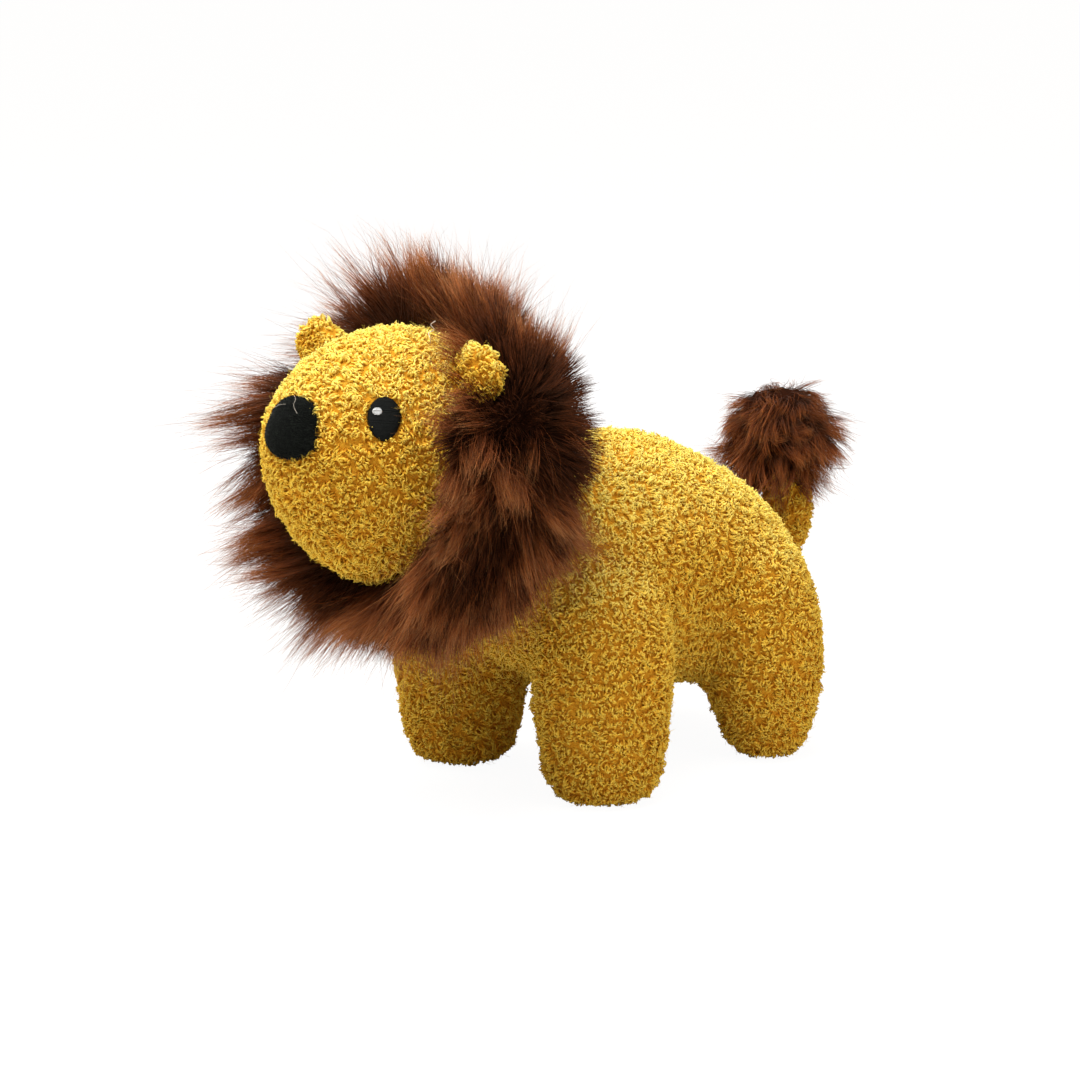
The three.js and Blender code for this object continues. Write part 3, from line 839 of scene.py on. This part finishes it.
def stitched(name, view, reach, middle, pitch, thick, crown, rim, finish, steps=12):
    """Satin stitches side by side across an outline, over its padding."""
    # The outline is looked for within 14 mm, every 0.1 mm, and a stitch of under 0.9 mm is left out
    line = np.linspace(-14, 14, 281) * mm
    starts, ends = [], []
    for row in np.arange(-12, 12.001, pitch / mm) * mm:
        held = line[np.hypot(line, row) < reach(np.arctan2(row, line))]
        if len(held) > 8:
            starts.append((held[0], row))
            ends.append((held[-1], row))
    starts, ends = np.array(starts), np.array(ends)
    flat = starts[:, None] + (ends - starts)[:, None] * np.linspace(0, 1, steps)[:, None]
    radius = np.hypot(flat[..., 0], flat[..., 1]) / reach(np.arctan2(flat[..., 1], flat[..., 0]))
    flat = flat + middle
    rise = rim + (crown - rim) * np.sqrt(np.clip(1 - radius**3, 0, 1))
    rise = rise + chance.normal(0, 0.05, (len(starts), 1)) * mm
    places = on_head(flat[..., 0].ravel(), flat[..., 1].ravel(), view, rise.ravel()).reshape(*rise.shape, 3)
    widths = np.full(rise.shape, thick / 2)
    widths[:, [0, -1]] *= 0.5
    places, faces = tubes(places, widths, np.tile(view[2], (len(starts), 1)), sides=6)
    return piece(name, places, faces, finish, "head")


def glint_reach(angle):
    """A small oval, wider than high."""
    return 1 / np.hypot(np.cos(angle) / 1.9, np.sin(angle) / 1.5) * mm


for name, view in eye_facings.items():
    toward_nose = -np.sign(view[2][0])
    pad, _, _ = patch(name + "_eye_padding", view, lambda a: eye_reach(a) - 0.4 * mm, crown=1.7 * mm,
                      rim=0.5 * mm, finish=black_thread)
    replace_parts(pad, name + "_eye")
    stitched(name + "_eye_stitches", view, eye_reach, middle=np.zeros(2), pitch=0.42 * mm, thick=0.5 * mm,
             crown=1.9 * mm, rim=0.8 * mm, finish=black_thread)
    glint = stitched(name + "_eye_glint_stitches", view, glint_reach,
                     middle=np.array([2.6 * toward_nose, 2.3]) * mm, pitch=0.4 * mm, thick=0.5 * mm,
                     crown=2.2 * mm, rim=2.0 * mm, finish=white_thread)
    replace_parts(glint, name + "_eye_glint")


# Mane

def rooted_on_head(angle, behind):
    """Places on the head's ground cloth at angles from the crown, and how far behind the mane's middle."""
    found = []
    for a, b in zip(angle, behind):
        start = Vector(mane_middle + b * mane_back)
        way = Vector(np.sin(a) * ACROSS + np.cos(a) * mane_up)
        hit = head_tree.ray_cast(start, way)[0]
        found.append(np.array(hit if hit is not None else start + way * 0.03))
    return np.array(found)


# How the fur is combed: angle from the crown, the left side positive, then the lean of the front row where
# it leaves the cloth and at its tips, the lean of the back row likewise, the droop of the tips, and the
# length in mm. Leans are in degrees back from straight out.
comb_rows = np.array([
    [-180, -40, -50, 35, 60, 0.10, 44], [-120, -40, -52, 35, 70, 0.35, 45], [-90, -32, -45, 35, 72, 0.30, 45],
    [-76, -22, -38, 30, 66, 0.05, 47], [-62, -4, -32, 25, 58, 0.00, 52], [-38, 2, -30, 20, 46, 0.00, 52],
    [-18, 0, -16, 22, 46, 0.00, 49], [0, 4, 0, 28, 50, 0.00, 46], [38, 12, 8, 34, 60, 0.05, 44],
    [62, -10, -56, 35, 70, 0.15, 44], [74, -54, -88, 35, 75, 0.20, 45], [95, -44, -74, 35, 75, 0.40, 45],
    [115, -44, -74, 35, 75, 0.50, 46], [150, -42, -62, 35, 65, 0.35, 44], [180, -40, -48, 35, 60, 0.10, 44]])


def combed(angle, share):
    """The way the fur leaves the cloth, the way its tips point and its length, from front to back."""
    front, front_tip, back, back_tip, drop, length = (
        np.interp(np.degrees(angle), comb_rows[:, 0], comb_rows[:, i]) for i in range(1, 7))
    leave = np.radians(front + (back - front) * share)
    finish = np.radians(front_tip + (back_tip - front_tip) * share**1.4)
    out = np.sin(angle)[:, None] * ACROSS + np.cos(angle)[:, None] * mane_up
    start = np.cos(leave)[:, None] * out + np.sin(leave)[:, None] * mane_back
    end = np.cos(finish)[:, None] * out + np.sin(finish)[:, None] * mane_back
    return start, unit(end - drop[:, None] * UP), length * mm


# Under each ear the fur parts and lies away from one point
partings = [rooted_on_head([side * parting_turn], [parting_behind])[0] for side in (1, -1)]


def parted(roots, angle, leave, finish):
    """The ways of combed fur, bent away from the parting near by."""
    out = np.sin(angle)[:, None] * ACROSS + np.cos(angle)[:, None] * mane_up
    for parting in partings:
        away = roots - parting
        away = away - 0.8 * (away * out).sum(1, keepdims=True) * out
        near = np.clip(1.35 - np.linalg.norm(away, axis=1, keepdims=True) / parting_reach, 0, 1)
        if parting[0] < 0:
            near = near * np.clip((-np.degrees(angle)[:, None] - 66) / 14, 0, 1)
        away = away / (np.linalg.norm(away, axis=1, keepdims=True) + 6 * mm)
        leave = unit(leave * (1 - 0.55 * near) + near * (0.85 * away + 0.28 * out))
        finish = unit(finish * (1 - 0.85 * near) + near * (away + 0.02 * out - 0.15 * UP))
    return leave, finish


def kept_out(paths, clear):
    """Strands that would run into the body laid over it instead."""
    flat = paths.reshape(-1, 3)
    near = np.nonzero((flat[:, 1] > -66 * mm) & (flat[:, 2] < 152 * mm))[0]
    for i in near:
        place, normal, _, distance = body_tree.find_nearest(flat[i])
        offset = flat[i] - np.array(place)
        if offset @ np.array(normal) < 0 or distance < clear:
            flat[i] = np.array(place) + np.array(normal) * (clear + 0.6 * mm * chance.random())
    return flat.reshape(paths.shape)


def within(paths):
    """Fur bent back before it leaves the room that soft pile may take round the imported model."""
    low, high = np.array(cad_box)
    offset = paths - (low + high) / 2
    over = np.abs(offset) - fur_room + fur_ease
    bent = np.sign(offset) * (fur_room - fur_ease + fur_ease * np.tanh(over / fur_ease))
    return (low + high) / 2 + np.where(over > 0, bent, offset)


def strands(lock_paths, per_lock, root_spread, gather, thick, loose_share, stray):
    """Strands of fur gathered into locks: paths, widths and side ways, with a share of stray ones."""
    steps = lock_paths.shape[1]
    t = shares_along(steps)
    middle = np.repeat(lock_paths, per_lock, 0)
    count = len(middle)
    length = np.linalg.norm(middle[:, -1] - middle[:, 0], axis=1)[:, None, None]
    aim = unit(middle[:, -1] - middle[:, 0])
    away = chance.normal(size=(count, 3))
    away = away - (away * aim).sum(1, keepdims=True) * aim
    stray_one = chance.random(count) < loose_share
    pull = np.where(stray_one, 0.0, chance.uniform(0.75, 1.0, count) * gather)[:, None, None]
    paths = middle + away[:, None] * root_spread * (1 - pull * t**0.8)
    throw = unit(chance.normal(size=(count, 3)))[:, None] * np.where(stray_one, stray, 0.05)[:, None, None]
    paths = paths + throw * length * t**1.8
    wave = unit(np.cross(aim, chance.normal(size=(count, 3))))[:, None]
    phase = chance.uniform(0, 2 * np.pi, (count, 1, 1))
    bends = chance.uniform(0.7, 1.6, (count, 1, 1))
    paths = paths + wave * 0.02 * length * np.sin(2 * np.pi * t * bends + phase) * t
    stray_trim, trim = chance.uniform(0.8, 1.12, count), chance.uniform(0.72, 1.03, count)
    trim = np.where(stray_one, stray_trim, trim)[:, None, None]
    paths = paths[:, :1] + (paths - paths[:, :1]) * trim
    width = thick * np.interp(np.linspace(0, 1, steps), [0, 0.3, 0.75, 1], [0.9, 1, 0.7, 0.12])
    widths = width[None] * chance.uniform(0.7, 1.25, (count, 1)) * np.where(stray_one, 0.6, 1.0)[:, None]
    return within(paths), widths, unit(np.cross(aim, away))


def swept(t, leave, finish):
    """A strand of length 1 that leaves its root one way and bends round to another."""
    return (t - t**2 / 2) * leave[:, None] + t**2 / 2 * finish[:, None]


lock_angle, lock_share = [], []
for turn in np.arange(-np.pi, np.pi, lock_gap / band_radius):
    front, back = band_edges(np.array([turn]))
    rows = int((back - front)[0] / lock_gap)
    lock_share.append(((np.arange(rows) + chance.random(rows)) / rows)**1.2)
    lock_angle.append(turn + chance.uniform(-0.5, 0.5, rows) * lock_gap / band_radius)
lock_angle, lock_share = np.concatenate(lock_angle), np.concatenate(lock_share)
order = np.argsort(lock_angle)
lock_angle, lock_share = lock_angle[order], lock_share[order]
front, back = band_edges(lock_angle)
lock_root = rooted_on_head(lock_angle, front + (back - front) * lock_share)
leave, finish, lock_length = combed(lock_angle, lock_share)
leave, finish = parted(lock_root, lock_angle, leave, finish)
swirl = drift(lock_root, 30 * mm, 21) * 0.26
leave = unit(leave + swirl + chance.normal(0, 0.12, leave.shape))
finish = unit(finish + 1.4 * swirl + chance.normal(0, 0.2, finish.shape))
lock_length = lock_length * chance.uniform(0.8, 1.16, len(lock_length)) * (1 - 0.12 * lock_share)
t = shares_along(6)
lock_paths = lock_root[:, None] - 1 * mm * leave[:, None]
lock_paths = lock_paths + lock_length[:, None, None] * swept(t, leave, finish)
leaders = chance.choice(len(lock_paths), len(lock_paths) // 7, replace=False)
far = np.linalg.norm(lock_paths[:, None, 3] - lock_paths[None, leaders, 3], axis=2)
led_by = leaders[np.argmin(far, 1)]
lock_paths = lock_paths + 0.5 * t**2 * (lock_paths[led_by][:, -1:] - lock_paths[:, -1:])
paths, widths, ways = strands(lock_paths, per_lock=38, root_spread=2.2 * mm, gather=0.78,
                              thick=0.105 * mm, loose_share=0.3, stray=0.3)
paths = kept_out(paths, clear=1.6 * mm)
strand_pieces("mane_fur_strands", paths, widths, ways, fur_finish, "head", "mane_fur")

# The dense fur under the strands, and the ground cloth below it
columns, rows = 120, 14
turns = np.linspace(-np.pi, np.pi, columns, endpoint=False)
shares = np.linspace(0.08, 0.95, rows)
grid_turn, grid_share = (g.ravel() for g in np.meshgrid(turns, shares, indexing="ij"))
front, back = band_edges(grid_turn)
grid_root = rooted_on_head(grid_turn, front + (back - front) * grid_share)
leave, finish, _ = combed(grid_turn, grid_share)
leave, finish = parted(grid_root, grid_turn, leave, finish)
depth = coat_depth * (1 + 0.2 * ripple(grid_root, 9 * mm, 31)) * (1 - 0.6 * (2 * grid_share - 1)**4)
grid_top = grid_root + depth[:, None] * unit(leave + 0.3 * finish)
grid_top = kept_out(grid_top[:, None], 1.0 * mm)[:, 0]
grid_base = grid_root - 0.8 * mm * leave
loop = np.concatenate([grid_base.reshape(columns, rows, 3), grid_top.reshape(columns, rows, 3)[:, ::-1]], 1)
coat_places = loop.reshape(-1, 3)
ring = np.arange(2 * rows)
after = (ring + 1) % (2 * rows)
coat_faces = []
for column in range(columns):
    here, beyond = column * 2 * rows, (column + 1) % columns * 2 * rows
    coat_faces.append(np.stack([here + ring, here + after, beyond + after, beyond + ring], 1))
coat_faces = np.concatenate(coat_faces)
coat = piece("mane_underfur", coat_places, coat_faces, underfur, "head")
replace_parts(coat, "mane_fur", "mane_cloth")
points, normals, owner = spread(coat_places, coat_faces, 1.25 * mm)
outer = owner % (2 * rows) >= rows
points, normals, owner = points[outer], normals[outer], owner[outer]
cell = owner // (2 * rows) * rows + np.clip(2 * rows - 1 - owner % (2 * rows), 0, rows - 1)
way = unit(0.45 * leave[cell] + 0.55 * finish[cell] + 0.25 * normals + chance.normal(0, 0.16, points.shape)
           + drift(points, 12 * mm, 32) * 0.3)
t = shares_along(4)
reach = chance.uniform(8, 14, (len(points), 1, 1)) * mm
sweep = t * way[:, None] + 0.25 * t**2 * finish[cell][:, None]
paths = kept_out(points[:, None] - 0.5 * mm * normals[:, None] + reach * sweep, 1.2 * mm)
widths = np.array([[0.15, 0.15, 0.11, 0.03]]) * mm * chance.uniform(0.7, 1.2, (len(points), 1))
strand_pieces("mane_short_fur", paths, widths, unit(np.cross(way, normals + 0.1)), underfur_strands, "head",
              "mane_fur")

# Tail tuft
tuft_low, tuft_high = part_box("tuft_fur")
tuft_middle = (np.array(tuft_low) + np.array(tuft_high)) / 2
tuft_core = tuft_middle + tuft_lift * UP
golden = np.arange(tuft_locks) * np.pi * (3 - 5**0.5)
rise = 1 - 2 * (np.arange(tuft_locks) + 0.5) / tuft_locks
ways_out = np.stack([np.sqrt(1 - rise**2) * np.cos(golden), np.sqrt(1 - rise**2) * np.sin(golden), rise], 1)
ways_out = unit(ways_out + chance.normal(0, 0.12, ways_out.shape))
tuft_root = tuft_core + ways_out * tuft_root_radius
level = unit(ways_out * [1, 1, 0])
ways_out = unit(0.7 * ways_out + 0.3 * level - 0.3 * UP + chance.normal(0, 0.12, ways_out.shape))
bent = unit(0.45 * level - UP + chance.normal(0, 0.25, ways_out.shape) + drift(tuft_root, 14 * mm, 41) * 0.8)
tuft_length = (20.5 - 4.5 * rise) * mm * chance.uniform(0.8, 1.2, tuft_locks)
tuft_paths = tuft_root[:, None] + tuft_length[:, None, None] * swept(shares_along(6), ways_out, bent)
paths, widths, ways = strands(tuft_paths, per_lock=22, root_spread=1.7 * mm, gather=0.55,
                              thick=0.1 * mm, loose_share=0.15, stray=0.4)
strand_pieces("tuft_fur_strands", paths, widths, ways, fur_finish, "tail", "tuft_fur")
core, core_faces = ball(tuft_core, tuft_core_width)
core = core + normals_of(core, core_faces) * (1.2 * mm * ripple(core, 8 * mm, 44))[:, None]
coat = piece("tuft_underfur", core, core_faces, underfur, "tail")
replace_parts(coat, "tuft_fur", "tuft_cloth")


# Loose threads and shed fibres on the crown and the nose

def loose(name, points, thick, body, node, slot):
    """One fallen thread along a smooth curve through points."""
    path = np.array([curve_at(points, share) for share in np.linspace(0, 1, 40)])[None]
    places, faces = tubes(path, np.full((1, 40), thick), UP[None] + 0.1, sides=6)
    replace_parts(piece(name, places, faces, loose_thread, body), node)


crown = head_middle + np.array([21, -1, 48]) * mm
crown_thread = np.array([[0, 0, 0], [1, -1, 2.5], [-1, 0, 4], [1.2, 1, 5.5], [0.4, 0, 7.5], [2, 1, 9]]) * mm
loose("crown_loose_thread", crown + crown_thread, 0.16 * mm, "head", "head_gusset", "curly_pile")
for number, (start, end) in enumerate((((1.5, 10.8), (6.3, 4.5)), ((-7, 5), (-1, 7)))):
    u, v = np.linspace(start, end, 5).T * mm
    rows_on = on_head(u + 0.6 * mm * np.sin(np.arange(5) * 1.9), v, nose_facing, np.full(5, 5.0 * mm))
    loose(f"nose_shed_fibre_{number + 1}", rows_on, 0.045 * mm, "head", "nose_patch", "nose_cloth")

# The fillings lie inside the covers. Those of the legs draw in round the soles, as the feet do.
for node in ("body_filling", "head_filling", "tail_filling"):
    frame["nodes"][node].data.materials.clear()
    frame["nodes"][node].data.materials.append(filling_fibre)
for leg in legs:
    packed = frame["nodes"][f"{leg}_leg_filling"]
    corners = np.array([packed.matrix_world @ vertex.co for vertex in packed.data.vertices])
    places, welded = np.unique(np.round(corners, 6), axis=0, return_inverse=True)
    faces = welded.reshape(-1)[np.array([tuple(face.vertices) for face in packed.data.polygons])]
    centre = (places.min(0) + places.max(0)) / 2
    drawn_in = centre + (places - centre) * [0.86, 0.86, 0.94]
    wisps = piece(f"{leg}_leg_fibre", drawn_in, faces, filling_fibre, "body")
    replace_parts(wisps, packed.name)


# Studio

floor_white, tree = material("white_studio_floor")
paper = add(tree, "BsdfDiffuse", {"Color": linear("#E9E9E9")})
seen = add(tree, "LightPath")
glow = add(tree, "Emission", {"Color": linear("#FFFFFF"), "Strength": 0.955})
pale = add(tree, "BsdfDiffuse", {"Color": linear("#5C5C5C")})
shown = add(tree, "AddShader", {0: pale.outputs["BSDF"], 1: glow.outputs["Emission"]})
either = add(tree, "MixShader", {"Fac": seen.outputs["Is Camera Ray"], 1: paper.outputs["BSDF"],
                                 2: shown.outputs["Shader"]})
add(tree, "OutputMaterial", {"Surface": either.outputs["Shader"]})
data = bpy.data.meshes.new("studio_floor")
far = 6.0
data.from_pydata([(-far, -far, 0), (far, -far, 0), (far, far, 0), (-far, far, 0)], [], [(0, 1, 2, 3)])
data.materials.append(floor_white)
placed("studio_floor", data)

# The world is white to the camera and in reflections, and a warm soft light on the lion
world = bpy.data.worlds.new("studio_air")
world.use_nodes = True
tree = world.node_tree
tree.nodes.clear()
seen = add(tree, "LightPath")
white = add(tree, "Background", {"Color": linear("#FFFFFF"), "Strength": 1.0})
soft = add(tree, "Background", {"Color": linear("#FFF0DA"), "Strength": 0.38})
plain = add(tree, "Math", {0: seen.outputs["Is Camera Ray"], 1: seen.outputs["Is Glossy Ray"]},
            operation="MAXIMUM")
sky = add(tree, "MixShader", {"Fac": plain.outputs["Value"], 1: soft.outputs["Background"],
                              2: white.outputs["Background"]})
add(tree, "OutputWorld", {"Surface": sky.outputs["Shader"]})
bpy.context.scene.world = world


def lamp(name, place, aim, size, power):
    """A soft square lamp that looks at a place."""
    data = bpy.data.lights.new(name, "AREA")
    data.size = size
    data.energy = power
    made = placed(name, data)
    made.location = place
    made.rotation_euler = (Vector(aim) - Vector(place)).to_track_quat("-Z", "Y").to_euler()


lamp("overhead_softbox", (-0.1, -0.4, 1.35), aim=(0, 0, 0.12), size=1.25, power=34.5)
lamp("side_fill", (1.7, 0.1, 0.9), aim=(0, 0, 0.1), size=1.0, power=6)

# The camera, found from the photograph: how far it has turned and risen round the lion, and where it stands
camera_turn, camera_rise = np.radians(46.5617), np.radians(12.0156)
camera_place = (1.027037, -0.986990, 0.403031)
lens = bpy.data.cameras.new("studio_camera")
lens.lens = 115
lens.sensor_width = 36
lens.clip_start = 0.01
right, upward, back = facing(camera_turn, camera_rise)
camera = placed("studio_camera", lens)
turned_to_lion = Matrix(np.stack([right, upward, back], 1).tolist()).to_4x4()
camera.matrix_world = Matrix.Translation(camera_place) @ turned_to_lion
bpy.context.scene.camera = camera
bpy.context.scene.view_settings.view_transform = "Standard"
